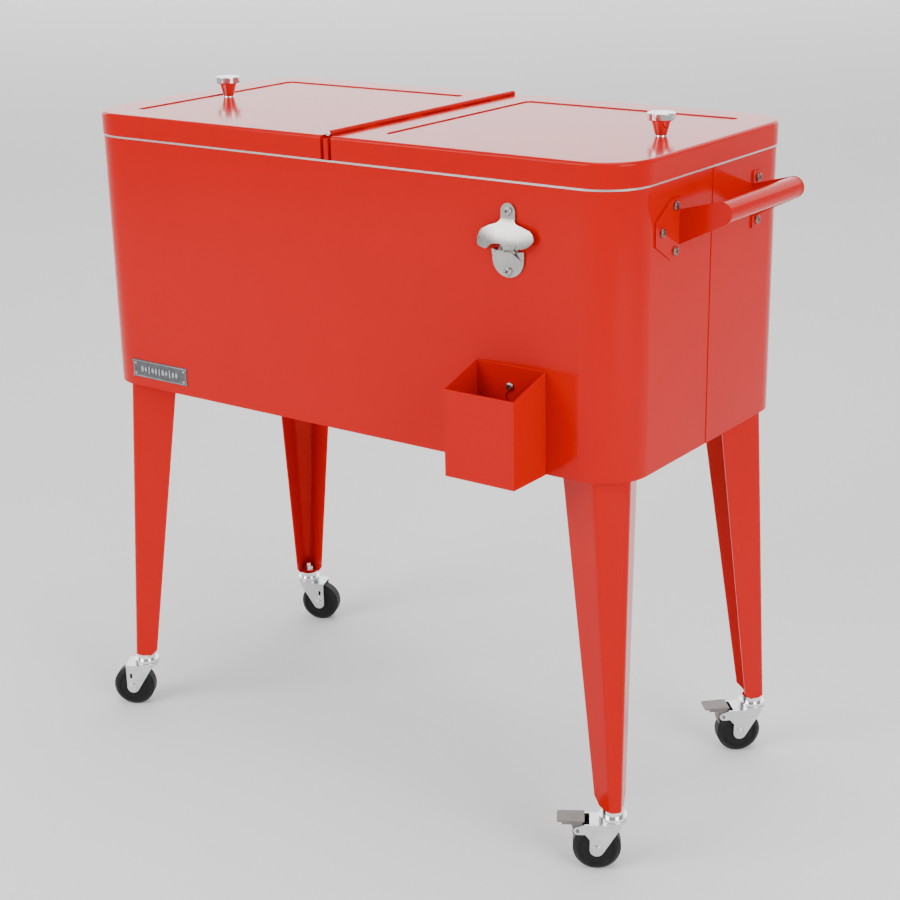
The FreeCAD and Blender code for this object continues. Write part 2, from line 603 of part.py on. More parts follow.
def leg_bolts():
    bolts = []
    for number, spot in enumerate(leg_bolt_spots, start=1):
        seat = size("leg_top") - size("leg_plate")
        head = rod(f"leg_bolt_head_{number}", "@leg_bolt_head", "@leg_bolt_head_height",
                   (spot.x, spot.y, seat - size("leg_bolt_head_height")), UP)
        shank = rod(f"leg_bolt_shank_{number}", "@leg_bolt_radius", "@leg_bolt_length",
                    (spot.x, spot.y, seat), UP)
        bolts.append(fuse(f"leg_bolt_{number}", head, shank))
    node(group("leg_bolts", bolts), "leg_bolts")


# ---------------------------------------------------------------- handle

def handle_bracket(name, side):
    """Folded plate: a flange screwed to the end wall and an arm that carries the bar."""
    fold = size("handle_middle") + side * size("handle_half")
    inner = fold - side * size("handle_wall")
    outer = fold + side * size("flange_reach")
    shoulder = outer - side * size("flange_cut_out")
    low = size("handle_height") - size("flange_half")
    high = size("handle_height") + size("flange_half")
    rise = size("flange_cut_up")
    flange_body = body(f"{name}_flange")
    flange = closed([(inner, low), (shoulder, low), (outer, low + rise), (outer, high - rise),
                     (shoulder, high), (inner, high)])
    pad(flange_body, "YZ_Plane", flange, "@handle_wall", RIGHT_END)
    arm_body = body(f"{name}_arm")
    wall = RIGHT_END
    centre = FreeCAD.Vector(wall + size("bar_reach"), size("bar_height"), 0)
    radius = size("bar_radius") + 0.5
    top_left = FreeCAD.Vector(wall, size("arm_high"), 0)
    low_left = FreeCAD.Vector(wall, size("arm_low"), 0)

    def tangent(point, turn):
        """Where the line from point touches the round end."""
        apart = centre - point
        lean = math.atan2(apart.y, apart.x) + turn * math.asin(radius / apart.Length)
        run = math.sqrt(apart.Length ** 2 - radius ** 2)
        return point + FreeCAD.Vector(math.cos(lean), math.sin(lean), 0) * run

    above = tangent(top_left, 1)
    below = tangent(low_left, -1)
    tip = centre + FreeCAD.Vector(radius, 0, 0)
    arm = [Part.LineSegment(low_left, below), Part.Arc(below, tip, above),
           Part.LineSegment(above, top_left), Part.LineSegment(top_left, low_left)]
    near = min(fold, inner)
    pad(arm_body, "XZ_Plane", arm, "@handle_wall", -(near + size("handle_wall")))
    holes = []
    for number, spot in enumerate(handle_screw_spots, start=1):
        if (spot[1] - size("handle_middle")) * side > 0:
            start = FreeCAD.Vector(*spot) - TO_RIGHT
            holes.append(rod(f"{name}_hole_{number}", "@screw_hole", "@handle_wall + 2", start, TO_RIGHT))
    node(cut(name, fuse(f"{name}_blank", flange_body, arm_body), *holes), name)


def handle_bar():
    start = (RIGHT_END + size("bar_reach"), size("handle_middle") - size("handle_half") + size("handle_wall"),
             size("bar_height"))
    tube = rod("bar_tube", "@bar_radius", "2 * (@handle_half - @handle_wall)", start, TO_BACK)
    bore = rod("bar_bore", "@bar_radius - @bar_wall", "2 * (@handle_half - @handle_wall)", start, TO_BACK)
    node(cut("handle_bar", tube, bore), "handle_bar")


def domed_screw(name, spot, seat, outward, head, height, shank, length):
    """Screw whose domed head stands seat above the wall and whose shank runs inward."""
    face = FreeCAD.Vector(*spot) + outward * seat
    disc = rod(f"{name}_disc", head, height, face, outward)
    doc.recompute()
    crown = disc.Shape.BoundBox
    soft = (size(height[1:])) * 0.7

    def outer_rim(middle, edge):
        if len(edge.Vertexes) != 1:
            return False
        return (edge.Curve.Center - face).dot(outward) > size(height[1:]) / 2

    dome = rounded(f"{name}_dome", disc, soft, outer_rim)
    stem = rod(f"{name}_stem", shank, length, face, outward * -1)
    return fuse(name, dome, stem)


def handle_screws():
    screws = []
    for number, spot in enumerate(handle_screw_spots, start=1):
        screws.append(domed_screw(f"handle_screw_{number}", spot, size("handle_wall"), TO_RIGHT, "@screw_head",
                                  "@screw_head_height", "@screw_shank", "@screw_length"))
    node(group("handle_screws", screws), "handle_screws")


# ---------------------------------------------------------------- bottle opener, name plate, cap catcher

def bottle_opener():
    x = size("opener_x")
    z = size("opener_height")
    back = (x, FRONT, z)
    tab = box("opener_tab_plate", "2 * @opener_tab", "@opener_plate", "@opener_top - @opener_tab",
              "@opener_x - @opener_tab", f"{FRONT} - @opener_plate", "@opener_height")
    tab_end = rod("opener_tab_end", "@opener_tab", "@opener_plate",
                  (x, FRONT, z + size("opener_top") - size("opener_tab")), TO_FRONT)
    lobe = rod("opener_lobe_plate", "@opener_lobe", "@opener_plate",
               (x, FRONT, z - size("opener_lobe_drop")), TO_FRONT)
    canopy = doc.addObject("Part::Box", "opener_canopy")
    bind(canopy, Length="2 * @opener_hood", Width="@opener_hood_wall", Height="@opener_hood_run")
    tilt = FreeCAD.Rotation(TO_RIGHT, 180 - size("opener_hood_tilt"))
    corner = FreeCAD.Vector(x - size("opener_hood"), FRONT - 0.5, z + size("opener_hood_top"))
    canopy.Placement = FreeCAD.Placement(corner, tilt)
    sides = rod("opener_sides", "@opener_hood", "40", back, TO_FRONT)
    hood = common("opener_hood_plate", canopy, sides)
    holes = []
    for number, spot in enumerate(opener_screw_spots, start=1):
        start = FreeCAD.Vector(*spot) - TO_FRONT
        holes.append(rod(f"opener_hole_{number}", "@screw_hole", "@opener_plate + 2", start, TO_FRONT))
    node(cut("bottle_opener", fuse("opener_blank", tab, tab_end, lobe, hood), *holes), "bottle_opener")


def opener_screws():
    screws = []
    for number, spot in enumerate(opener_screw_spots, start=1):
        screws.append(domed_screw(f"opener_screw_{number}", spot, size("opener_plate"), TO_FRONT, "@screw_head",
                                  "@screw_head_height", "@screw_shank", "@screw_length"))
    node(group("opener_screws", screws), "opener_screws")


def name_plate():
    blank = box("plate_blank", "@plate_length", "@plate_thick", "@plate_width",
                "@plate_x - @plate_length / 2", f"{FRONT} - @plate_thick", "@plate_height - @plate_width / 2")
    bites = []
    for along in (-1, 1):
        reach = size("plate_length") / 2 + size("plate_bite") - size("plate_bite_depth")
        spot = (size("plate_x") + along * reach, FRONT + 1, size("plate_height"))
        bites.append(rod(f"plate_bite_{along + 1}", "@plate_bite", "@plate_thick + 2", spot, TO_FRONT))
    for number, spot in enumerate(rivet_spots, start=1):
        start = FreeCAD.Vector(*spot) - TO_FRONT
        bites.append(rod(f"plate_hole_{number}", "@rivet_shank + 0.05", "@plate_thick + 2", start, TO_FRONT))
    node(cut("name_plate", blank, *bites), "name_plate")


def name_plate_rivets():
    rivets = []
    for number, spot in enumerate(rivet_spots, start=1):
        rivets.append(domed_screw(f"plate_rivet_{number}", spot, size("plate_thick"), TO_FRONT, "@rivet_head",
                                  "@rivet_head_height", "@rivet_shank", "@rivet_length"))
    node(group("name_plate_rivets", rivets), "name_plate_rivets")


def catcher_prism(name, inset, floor, rise):
    """Side outline of the catcher, swept along its length; the top slopes down to the front."""
    owner = body(name)
    near = FRONT - size("catcher_gap") - inset
    far = FRONT - size("catcher_gap") - size("catcher_depth") + inset
    low = size("catcher_low") + floor
    side = closed([(far, low), (near, low), (near, size("catcher_back") + rise),
                   (far, size("catcher_front") + rise)])
    pad(owner, "YZ_Plane", side, f"@catcher_length - 2 * {inset}", size("catcher_left") + inset)
    return owner


def cap_catcher():
    outside = catcher_prism("catcher_outside", 0.0, 0.0, 0.0)
    hollow = catcher_prism("catcher_hollow", size("catcher_wall"), size("catcher_wall"), 5.0)
    x = size("catcher_screw_x")
    z = size("catcher_screw_height")
    depth = "@catcher_wall + 1"
    start = FRONT - size("catcher_gap") + 0.5
    top = rod("keyhole_top", "@keyhole_slot", depth, (x, start, z), TO_FRONT)
    slot = box("keyhole_slot_cut", "2 * @keyhole_slot", depth, "@keyhole_drop",
               "@catcher_screw_x - @keyhole_slot",
               f"{start} - @catcher_wall - 1", "@catcher_screw_height - @keyhole_drop")
    wide = rod("keyhole_wide", "@keyhole_round", depth, (x, start, z - size("keyhole_drop")), TO_FRONT)
    node(cut("cap_catcher", outside, hollow, top, slot, wide), "cap_catcher")


def catcher_screw():
    seat = size("catcher_gap") + size("catcher_wall") + 0.3
    screw = domed_screw("catcher_screw_piece", catcher_screw_spots[0], seat, TO_FRONT, "@catcher_head",
                        "@catcher_head_height", "@screw_shank", "@screw_length")
    node(screw, "catcher_screw")


# ---------------------------------------------------------------- drain

def drain():
    x, y, z = drain_spot
    outside = x - size("drain_gasket")
    face = outside - size("drain_flange_wall")
    tip = face - size("drain_nozzle_length")
    inside = -size("liner_length") / 2 + size("drain_inside")
    tube_length = inside - tip
    ring = rod("drain_gasket_disc", "@drain_flange - 0.5", "@drain_gasket", (outside, y, z), TO_RIGHT)
    ring_hole = rod("drain_gasket_hole", "@drain_tube + @drain_clear", "@drain_gasket", (outside, y, z), TO_RIGHT)
    node(cut("drain_gasket", ring, ring_hole), "drain_gasket")
    flange = rod("drain_flange_disc", "@drain_flange", "@drain_flange_wall", (face, y, z), TO_RIGHT)
    tube = rod("drain_tube_rod", "@drain_tube", f"{inside - face}", (face, y, z), TO_RIGHT)
    nozzle = rod("drain_nozzle_rod", "@drain_nozzle", "@drain_nozzle_length", (tip, y, z), TO_RIGHT)
    bore = rod("drain_bore_rod", "@drain_bore", f"{tube_length} + 2", (tip - 1, y, z), TO_RIGHT)
    node(cut("drain_spout", fuse("drain_spout_blank", flange, tube, nozzle), bore), "drain_spout")
    nut_seat = -size("liner_length") / 2
    nut = rod("drain_nut_disc", "@drain_nut", "@drain_nut_wall", (nut_seat, y, z), TO_RIGHT)
    nut_hole = rod("drain_nut_hole", "@drain_tube + @drain_fit", "@drain_nut_wall", (nut_seat, y, z), TO_RIGHT)
    node(cut("drain_nut", nut, nut_hole), "drain_nut")
    cap_end = tip - size("drain_cap_wall")
    cup = rod("drain_cap_cup", "@drain_cap", "@drain_cap_wall + @drain_nozzle_length - 0.6",
              (cap_end, y, z), TO_RIGHT)
    socket = rod("drain_cap_socket", "@drain_nozzle + @drain_fit", "@drain_nozzle_length + 2",
                 (tip - 0.3, y, z), TO_RIGHT)
    node(cut("drain_cap", cup, socket), "drain_cap")


# ---------------------------------------------------------------- casters

def caster_spot(across, along):
    middle, outward, sideways = leg_frame(across, along, "low")
    return middle - outward * size("stem_inset")


def caster_stems():
    stems = []
    nuts = []
    for corner, (across, along, heading, braked) in CASTERS.items():
        spot = caster_spot(across, along)
        low = size("kingpin_head_low")
        parts = [
            rod(f"{corner}_kingpin_head", "@kingpin_head", "@fork_low - @kingpin_head_low - 0.3",
                (spot.x, spot.y, low), UP),
            rod(f"{corner}_kingpin", "@kingpin", "@race_low - @kingpin_head_low", (spot.x, spot.y, low), UP),
            rod(f"{corner}_race", "@race_radius", "@race_high - @race_low",
                (spot.x, spot.y, size("race_low")), UP),
            rod(f"{corner}_collar", "@stem_collar", "@leg_low - @race_high",
                (spot.x, spot.y, size("race_high")), UP),
            rod(f"{corner}_stem", "@stem_radius", "@stem_top - @leg_low",
                (spot.x, spot.y, size("leg_low")), UP),
        ]
        stems.append(fuse(f"{corner}_stem_piece", *parts))
        seat = size("leg_low") + size("leg_plate")
        nut_body = body(f"{corner}_nut_body")
        hexagon = [(size("stem_nut") * math.cos(math.radians(60 * i)),
                    size("stem_nut") * math.sin(math.radians(60 * i))) for i in range(6)]
        pad(nut_body, "XY_Plane", closed(hexagon), "@stem_nut_height")
        place(nut_body, spot.x, spot.y, seat)
        hole = rod(f"{corner}_nut_hole", "@stem_radius + 0.05", "@stem_nut_height + 2",
                   (spot.x, spot.y, seat - 1), UP)
        nuts.append(cut(f"{corner}_nut", nut_body, hole))
    node(group("caster_stems", stems), "caster_stems")
    node(group("stem_nuts", nuts), "stem_nuts")


def fork(corner, braked):
    """Fork in its own frame: the swivel axis is Z, the wheel trails along +X."""
    top = body(f"{corner}_fork_top")
    half = size("fork_inner") + size("fork_wall")
    reach = size("fork_back")
    low = size("fork_low")
    high = size("fork_high")
    curves = [
        Part.LineSegment(FreeCAD.Vector(0, -half, 0), FreeCAD.Vector(reach, -half, 0)),
        Part.LineSegment(FreeCAD.Vector(reach, -half, 0), FreeCAD.Vector(reach, half, 0)),
        Part.LineSegment(FreeCAD.Vector(reach, half, 0), FreeCAD.Vector(0, half, 0)),
        Part.Arc(FreeCAD.Vector(0, half, 0), FreeCAD.Vector(-half, 0, 0), FreeCAD.Vector(0, -half, 0)),
    ]
    pad(top, "XY_Plane", curves, "@fork_high - @fork_low", low)
    axle_at = FreeCAD.Vector(size("trail"), size("wheel_radius"), 0)
    boss = size("axle_boss")
    pivot = FreeCAD.Vector(size("lever_reach"), size("lever_height"), 0)
    end = size("arm_end")
    back = axle_at + FreeCAD.Vector(boss, 0, 0)
    front = axle_at + FreeCAD.Vector(-boss * 0.87, -boss * 0.5, 0)
    nose = [FreeCAD.Vector(-size("fork_nose"), low, 0), FreeCAD.Vector(-size("fork_nose") + 3, high, 0)]
    edges = [Part.LineSegment(nose[0], nose[1])]
    if braked:
        over = FreeCAD.Vector(pivot.x - 7, high, 0)
        above = pivot + FreeCAD.Vector(0, end, 0)
        below = pivot - FreeCAD.Vector(0, end, 0)
        bend = FreeCAD.Vector(pivot.x - 9, below.y, 0)
        throat = FreeCAD.Vector(back.x, below.y - 7, 0)
        edges.append(Part.LineSegment(nose[1], over))
        edges.append(Part.LineSegment(over, above))
        edges.append(Part.Arc(above, pivot + FreeCAD.Vector(end, 0, 0), below))
        edges.append(Part.LineSegment(below, bend))
        edges.append(Part.LineSegment(bend, throat))
        edges.append(Part.LineSegment(throat, back))
    else:
        corner_point = FreeCAD.Vector(back.x, high, 0)
        edges.append(Part.LineSegment(nose[1], corner_point))
        edges.append(Part.LineSegment(corner_point, back))
    edges.append(Part.Arc(back, axle_at - FreeCAD.Vector(0, boss, 0), front))
    edges.append(Part.LineSegment(front, nose[0]))
    cheeks = []
    for side in (-1, 1):
        cheek = body(f"{corner}_cheek_{side + 1}")
        plane_y = size("fork_inner") if side < 0 else -half
        pad(cheek, "XZ_Plane", edges, "@fork_wall", plane_y)
        cheeks.append(cheek)
    race = rod(f"{corner}_fork_race", "@fork_race", "@fork_race_high - @fork_high", (0, 0, high), UP)
    dome = rounded(f"{corner}_fork_dome", race, 1.5,
                   lambda middle, edge: len(edge.Vertexes) == 1 and edge.Curve.Center.z > high + 1)
    holes = [
        rod(f"{corner}_kingpin_hole", "@kingpin + @pin_fit", "@fork_race_high - @fork_low + 2",
            (0, 0, low - 1), UP),
        rod(f"{corner}_axle_hole", "@axle_radius + 0.02", "4 * @fork_inner",
            (size("trail"), -2 * size("fork_inner"), size("wheel_radius")), TO_BACK),
    ]
    if braked:
        holes.append(rod(f"{corner}_lever_hole", "@lever_pin + @pin_fit", "4 * @fork_inner",
                         (pivot.x, -2 * size("fork_inner"), pivot.y), TO_BACK))
    else:
        holes.append(box(f"{corner}_cheek_slot", "@slot_wide", "4 * @fork_inner", "@slot_tall",
                         "@slot_reach - @slot_wide / 2", "-2 * @fork_inner", "@slot_height"))
    return cut(f"{corner}_fork", fuse(f"{corner}_fork_blank", top, *cheeks, dome), *holes)


def axle(corner):
    half = size("fork_inner") + size("fork_wall")
    centre = (size("trail"), -half, size("wheel_radius"))
    shaft = rod(f"{corner}_axle_shaft", "@axle_radius", "2 * (@fork_inner + @fork_wall)", centre, TO_BACK)
    heads = []
    for side in (-1, 1):
        start = (size("trail"), side * half, size("wheel_radius"))
        disc = rod(f"{corner}_axle_head_{side + 1}", "@axle_head", "@axle_head_height", start,
                   TO_BACK if side > 0 else TO_FRONT)
        heads.append(rounded(f"{corner}_axle_dome_{side + 1}", disc, 1.4,
                             lambda middle, edge: len(edge.Vertexes) == 1 and abs(edge.Curve.Center.y) > half + 1))
    return fuse(f"{corner}_axle", shaft, *heads)


def wheel(corner):
    """Wheel turned round its own Z axis, then laid over so that it rolls about Y."""
    owner = body(f"{corner}_wheel_body")
    bore = size("axle_radius") + size("pin_fit")
    half = size("wheel_width") / 2
    radius = size("wheel_radius")
    soft = size("tread_round")
    hollow = half - size("hub_recess")
    inner = size("hub_inner")
    outer = size("hub_outer")
    points = [(bore, -half), (inner, -half), (inner + 1, -hollow), (outer - 1, -hollow), (outer, -half),
              (radius - soft, -half), (radius, -half + soft), (radius, half - soft), (radius - soft, half),
              (outer, half), (outer - 1, hollow), (inner + 1, hollow), (inner, half), (bore, half)]
    revolve(owner, closed(points))
    return owner


def brake_lever(corner):
    """Pedal pressed down at rest; its tongue stands just off the tread."""
    pivot = (size("lever_reach"), size("lever_height"))
    half = size("lever_half")
    low = size("pedal_low")
    pin_half = size("fork_inner") + size("fork_wall") + 1.5
    pieces = [rod(f"{corner}_lever_pin_rod", "@lever_pin", f"{2 * pin_half}",
                  (pivot[0], -pin_half, pivot[1]), TO_BACK)]
    web = closed([(pivot[0] - 3.5, pivot[1] - 2), (pivot[0] + 1, pivot[1] - 4), (pivot[0] + 4, pivot[1] - 2),
                  (pivot[0] + 9, low), (pivot[0] - 6, low)])
    for side in (-1, 1):
        arm = body(f"{corner}_lever_arm_{side + 1}")
        plane_y = half - size("lever_wall") if side < 0 else -half
        pad(arm, "XZ_Plane", web, "@lever_wall", plane_y)
        pieces.append(arm)
        wide = size("pedal_half")
        edge_y = -wide if side < 0 else wide - size("lever_wall")
        pieces.append(box(f"{corner}_pedal_skirt_{side + 1}", "@pedal_outer - @pedal_inner - 12", "@lever_wall",
                          "@pedal_skirt", "@pedal_inner + 6", f"{edge_y}", "@pedal_low - @pedal_skirt"))
    plate = box(f"{corner}_pedal_plate", "@pedal_outer - @pedal_inner", "2 * @pedal_half",
                "@pedal_high - @pedal_low", "@pedal_inner", "-@pedal_half", "@pedal_low")
    pieces.append(rounded(f"{corner}_pedal", plate, size("pedal_corner"),
                          lambda middle, edge: upright(middle, edge) and middle.x > pivot[0]))
    tongue = body(f"{corner}_tongue")
    hook = closed([(pivot[0], low), (pivot[0] + 3, low), (pivot[0] + 6.5, pivot[1] - 6),
                   (pivot[0] + 4.6, pivot[1] - 12.5), (pivot[0] + 3.4, pivot[1] - 12.3), (pivot[0] + 4, pivot[1] - 6)])
    pad(tongue, "XZ_Plane", hook, "2 * @tongue_half", -size("tongue_half"))
    pieces.append(tongue)
    return fuse(f"{corner}_lever", *pieces)


def casters():
    for corner, (across, along, heading, braked) in CASTERS.items():
        spot = caster_spot(across, along)
        node(place(fork(corner, braked), spot.x, spot.y, 0, heading), f"caster_fork_{corner}")
        node(place(axle(corner), spot.x, spot.y, 0, heading), f"caster_axle_{corner}")
        rolling = wheel(corner)
        swivel = FreeCAD.Placement(FreeCAD.Vector(spot.x, spot.y, 0), FreeCAD.Rotation(UP, heading))
        hub = FreeCAD.Placement(FreeCAD.Vector(size("trail"), 0, size("wheel_radius")),
                                FreeCAD.Rotation(TO_RIGHT, 90))
        rolling.Placement = swivel.multiply(hub)
        node(rolling, f"caster_wheel_{corner}")
        if braked:
            node(place(brake_lever(corner), spot.x, spot.y, 0, heading), f"brake_lever_{corner}")


# ---------------------------------------------------------------- build and write

outer_shell()
bottom_pan()
foam_insulation()
inner_liner()
rim_trim()
center_rail()
hinge_pin()
lids()
for corner, (across, along, heading, braked) in CASTERS.items():
    leg(corner, across, along)
leg_bolts()
handle_bracket("handle_bracket_front", -1)
handle_bracket("handle_bracket_rear", 1)
handle_bar()
handle_screws()
bottle_opener()
opener_screws()
name_plate()
name_plate_rivets()
cap_catcher()
catcher_screw()
drain()
caster_stems()
casters()
doc.recompute()

for item in doc.Objects:
    if "Invalid" in item.State or "Error" in item.State:
        raise RuntimeError(f"{item.Name} failed: {item.State}")
for piece in nodes:
    if piece.Shape.isNull() or not piece.Shape.isValid():
        raise RuntimeError(f"{piece.Label} has no valid shape")

os.makedirs("parts", exist_ok=True)
for piece in nodes:
    piece.Shape.exportStep(f"parts/{piece.Label}.step")
print(len(nodes), "nodes written")
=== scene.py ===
import bpy
import bmesh
import json
import math
from mathutils import Matrix, Vector

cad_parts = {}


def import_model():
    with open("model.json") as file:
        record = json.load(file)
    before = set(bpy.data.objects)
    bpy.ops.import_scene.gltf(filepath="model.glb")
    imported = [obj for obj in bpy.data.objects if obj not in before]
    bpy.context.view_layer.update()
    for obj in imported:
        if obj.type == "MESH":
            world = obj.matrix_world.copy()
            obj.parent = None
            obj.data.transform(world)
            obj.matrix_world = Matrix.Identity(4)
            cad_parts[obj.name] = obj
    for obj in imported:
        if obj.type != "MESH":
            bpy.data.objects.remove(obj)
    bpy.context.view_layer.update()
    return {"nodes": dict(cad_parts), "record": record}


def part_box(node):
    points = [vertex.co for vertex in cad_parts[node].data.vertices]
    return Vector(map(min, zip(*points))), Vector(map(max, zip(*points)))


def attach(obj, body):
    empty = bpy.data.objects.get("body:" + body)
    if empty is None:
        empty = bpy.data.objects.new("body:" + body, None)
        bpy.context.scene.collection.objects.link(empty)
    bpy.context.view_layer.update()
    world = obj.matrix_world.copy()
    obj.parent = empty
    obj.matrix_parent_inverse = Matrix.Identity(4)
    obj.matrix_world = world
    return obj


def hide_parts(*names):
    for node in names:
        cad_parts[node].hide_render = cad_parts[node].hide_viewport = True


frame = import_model()
nodes = frame["nodes"]


MM = 0.001

# ---------------------------------------------------------------- materials

NOISE_LOW, NOISE_HIGH = 0.3, 0.7    # the range that most noise values fall in


def mapped(tree, scale):
    """Position in the object's own frame, stretched by scale."""
    place = tree.nodes.new("ShaderNodeTexCoord")
    mapping = tree.nodes.new("ShaderNodeMapping")
    mapping.inputs["Scale"].default_value = scale
    tree.links.new(place.outputs["Object"], mapping.inputs["Vector"])
    return mapping.outputs["Vector"]


def noise(tree, scale, detail=3.0, stretch=(1, 1, 1)):
    """Procedural noise of the given scale."""
    texture = tree.nodes.new("ShaderNodeTexNoise")
    texture.inputs["Scale"].default_value = scale
    texture.inputs["Detail"].default_value = detail
    tree.links.new(mapped(tree, stretch), texture.inputs["Vector"])
    return texture.outputs["Fac"]


def spread(tree, source, low, high):
    """Noise values turned into the range low to high."""
    ramp = tree.nodes.new("ShaderNodeMapRange")
    ramp.inputs["From Min"].default_value = NOISE_LOW
    ramp.inputs["From Max"].default_value = NOISE_HIGH
    ramp.inputs["To Min"].default_value = low
    ramp.inputs["To Max"].default_value = high
    tree.links.new(source, ramp.inputs["Value"])
    return ramp.outputs["Result"]


def blend_colors(tree, factor, first, second):
    """Colour that runs from first to second with factor."""
    mix = tree.nodes.new("ShaderNodeMix")
    mix.data_type = "RGBA"
    mix.inputs["A"].default_value = (*first, 1)
    mix.inputs["B"].default_value = (*second, 1)
    tree.links.new(factor, mix.inputs["Factor"])
    return mix.outputs["Result"]


def bumps(tree, layers):
    """Stacked bump nodes; each layer is (height source, strength, distance in metres)."""
    normal = None
    for source, strength, distance in layers:
        bump = tree.nodes.new("ShaderNodeBump")
        bump.inputs["Strength"].default_value = strength
        bump.inputs["Distance"].default_value = distance
        tree.links.new(source, bump.inputs["Height"])
        if normal is not None:
            tree.links.new(normal, bump.inputs["Normal"])
        normal = bump.outputs["Normal"]
    return normal


def material(name, light, dark, rough, metallic=0.0, coat=0.0, grain=300.0, stretch=(1, 1, 1),
             patch=6.0, bump=(0.08, 0.0002), wave=None, specular=0.5):
    """Principled surface with procedural colour, roughness and bump.

    light and dark are the two ends of the colour, which varies in patches; rough is the range of roughness,
    which varies with the grain; bump is (strength, distance) of the grain, and wave is (scale, strength,
    distance) of a slow ripple in the sheet.
    """
    made = bpy.data.materials.new(name)
    made.use_nodes = True
    tree = made.node_tree
    surface = tree.nodes["Principled BSDF"]
    fine = noise(tree, grain, 4.0, stretch)
    broad = noise(tree, patch, 3.0)
    tree.links.new(blend_colors(tree, spread(tree, broad, 0, 1), light, dark), surface.inputs["Base Color"])
    tree.links.new(spread(tree, fine, *rough), surface.inputs["Roughness"])
    layers = [(fine, *bump)]
    if wave:
        layers.append((noise(tree, wave[0], 1.0), wave[1], wave[2]))
    tree.links.new(bumps(tree, layers), surface.inputs["Normal"])
    surface.inputs["Metallic"].default_value = metallic
    surface.inputs["IOR"].default_value = 1.5
    surface.inputs["Specular IOR Level"].default_value = specular
    surface.inputs["Coat Weight"].default_value = coat
    surface.inputs["Coat Roughness"].default_value = 0.03
    return made


LOOKS = {
    "red_enamel": material("red_enamel", (0.58, 0.0006, 0.0005), (0.555, 0.0005, 0.0004), (0.10, 0.16),
                           grain=420, patch=5, bump=(0.035, 0.0002), wave=(5.0, 0.05, 0.003), specular=0.13),
    "galvanised_pan": material("galvanised_pan", (0.60, 0.61, 0.62), (0.50, 0.51, 0.53), (0.32, 0.48), 1.0,
                               grain=160, patch=70, bump=(0.08, 0.0002)),
    "foam": material("foam", (0.93, 0.88, 0.72), (0.86, 0.80, 0.62), (0.85, 0.95), grain=500, patch=40,
                     bump=(0.4, 0.0006)),
    "white_liner": material("white_liner", (0.90, 0.90, 0.89), (0.86, 0.86, 0.855), (0.22, 0.34), coat=0.3,
                            grain=220, patch=6, bump=(0.05, 0.0003), wave=(7.0, 0.06, 0.002)),
    "trim_metal": material("trim_metal", (0.86, 0.86, 0.87), (0.80, 0.80, 0.81), (0.12, 0.26), 1.0,
                           grain=60, stretch=(1, 1, 30), bump=(0.04, 0.0001)),
    "chrome": material("chrome", (0.88, 0.88, 0.89), (0.82, 0.82, 0.84), (0.04, 0.09), 1.0, grain=240,
                       patch=30, bump=(0.02, 0.0001)),
    "stainless": material("stainless", (0.50, 0.49, 0.465), (0.40, 0.39, 0.37), (0.22, 0.38), 1.0, grain=90,
                          stretch=(14, 14, 1), patch=40, bump=(0.06, 0.0001)),
    "red_screw": material("red_screw", (0.30, 0.16, 0.14), (0.20, 0.09, 0.08), (0.14, 0.26), 0.8, grain=400,
                          patch=90, bump=(0.05, 0.0001)),
    "silver_plate": material("silver_plate", (0.50, 0.51, 0.53), (0.40, 0.41, 0.43), (0.26, 0.42), 1.0,
                             grain=700, patch=120, bump=(0.16, 0.0002)),
    # dark colour of the plate's field: painted shade of the recess between the raised marks
    "plate_field_shade": material("plate_field_shade", (0.15, 0.15, 0.16), (0.10, 0.10, 0.11), (0.36, 0.52), 0.8,
                            grain=700, patch=120, bump=(0.16, 0.0002)),
    "zinc": material("zinc", (0.78, 0.79, 0.81), (0.64, 0.66, 0.69), (0.14, 0.30), 1.0, grain=220, patch=60,
                     bump=(0.05, 0.0002)),
    "black_wheel": material("black_wheel", (0.008, 0.008, 0.009), (0.005, 0.005, 0.006), (0.42, 0.58),
                            grain=500, patch=60, bump=(0.14, 0.0003), specular=0.25),
    "brake_grey": material("brake_grey", (0.19, 0.165, 0.152), (0.14, 0.122, 0.113), (0.28, 0.42),
                           grain=320, patch=60, bump=(0.08, 0.0002)),
    "gasket_rubber": material("gasket_rubber", (0.05, 0.05, 0.05), (0.03, 0.03, 0.03), (0.6, 0.75), grain=400,
                              patch=80, bump=(0.15, 0.0002)),
    # dark colour of the painted shade in the screws' cross recesses
    "screw_recess_shade": material("screw_recess_shade", (0.05, 0.045, 0.04), (0.02, 0.02, 0.02), (0.35, 0.5), 0.8,
                             grain=400, patch=80, bump=(0.05, 0.0001)),
    "drain_plastic": material("drain_plastic", (0.86, 0.86, 0.85), (0.80, 0.80, 0.79), (0.28, 0.40),
                              grain=300, patch=50, bump=(0.06, 0.0002)),
}

slot_of = {part["node"]: part["material_slot"] for part in frame["record"]["subparts"]}


def paint(piece, slot):
    """Gives a piece its look, the material of the given slot."""
    piece.data.materials.clear()
    piece.data.materials.append(LOOKS[slot])


def plain_normals(mesh):
    """Flat normals of the imported mesh are dropped, so that the modifiers can round its edges."""
    if "custom_normal" in mesh.attributes:
        mesh.attributes.remove(mesh.attributes["custom_normal"])


def bevelled(piece, width, segments=3, angle=35.0):
    """Rounds every sharp edge of a piece by width."""
    bevel = piece.modifiers.new("edges", "BEVEL")
    bevel.width = width
    bevel.segments = segments
    bevel.limit_method = "ANGLE"
    bevel.angle_limit = math.radians(angle)
    return bevel


def rounded_edges(piece, width):
    """Joins the split corners of a CAD node and rounds every real edge by width."""
    plain_normals(piece.data)
    piece.data.shade_smooth()
    weld = piece.modifiers.new("weld", "WELD")
    weld.merge_threshold = 0.01 * MM
    bevel = bevelled(piece, width, segments=2, angle=32.0)
    bevel.harden_normals = True
    bevel.miter_outer = "MITER_ARC"


BEVELS = {"handle_bracket_front": 0.5 * MM, "handle_bracket_rear": 0.5 * MM, "cap_catcher": 0.3 * MM}

